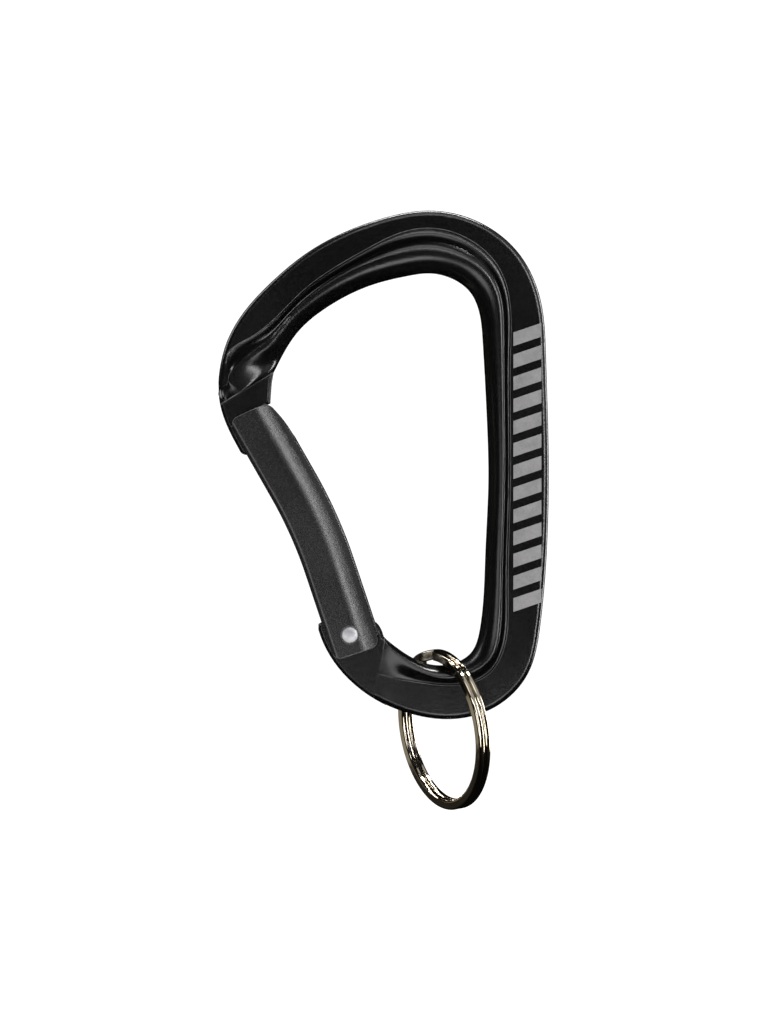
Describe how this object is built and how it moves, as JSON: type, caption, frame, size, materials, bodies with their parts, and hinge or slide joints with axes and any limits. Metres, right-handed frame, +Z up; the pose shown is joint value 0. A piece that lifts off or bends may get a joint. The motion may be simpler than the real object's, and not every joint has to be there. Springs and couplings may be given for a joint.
{
  "type": "carabiner keyring",
  "caption": "Small key carabiner: a ribbed D-shaped body, an inward-opening sprung gate with a hooked nose, and a split ring hanging in its lower bend.",
  "frame": {"origin": "highest point of the opening inside the body, on the body's middle plane: the point that rests on whatever the clip hangs from", "axes": "+Z up along the body, +X from the gate towards the spine, +Y away from the front face"},
  "size_m": [0.0518, 0.0229, 0.0941],
  "materials": {
    "black_anodised": "satin black anodised",
    "gate_anodised": "satin dark grey anodised",
    "rivet_steel": "bright, lightly marked on the head",
    "spring_steel": "drawn wire",
    "ring_nickel": "polished nickel plate"
  },
  "bodies": {
    "frame_body": {"body": "black_anodised"},
    "gate_arm": {"gate": "gate_anodised", "gate_rivet": "rivet_steel", "gate_spring": "spring_steel"},
    "plunger": {"spring_plunger": "spring_steel"},
    "key_ring_body": {"split_ring": "ring_nickel"}
  },
  "joints": [
    {"name": "gate_hinge", "type": "hinge", "parent": "frame_body", "child": "gate_arm", "pos_m": [-0.01367, 0, -0.05671], "axis": [0, 1, 0], "range_deg": [0, 28], "stiffness_Nm_per_rad": 0.02, "springref_deg": -57.3},
    {"name": "plunger_slide", "type": "slide", "parent": "gate_arm", "child": "plunger", "axis": [-0.3173, 0, 0.9483], "range_m": [0, 0.0014], "deforming": ["gate_spring"]},
    {"name": "ring_swing", "type": "hinge", "parent": "frame_body", "child": "key_ring_body", "pos_m": [0.00087, 0.00082, -0.06984], "axis": [0.8619, 0.4859, 0.145], "range_deg": [-70, 70]}
  ],
  "couplings": [
    {"joint": "plunger_slide", "follows": "gate_hinge", "m_per_rad": 0.00256}
  ]
}
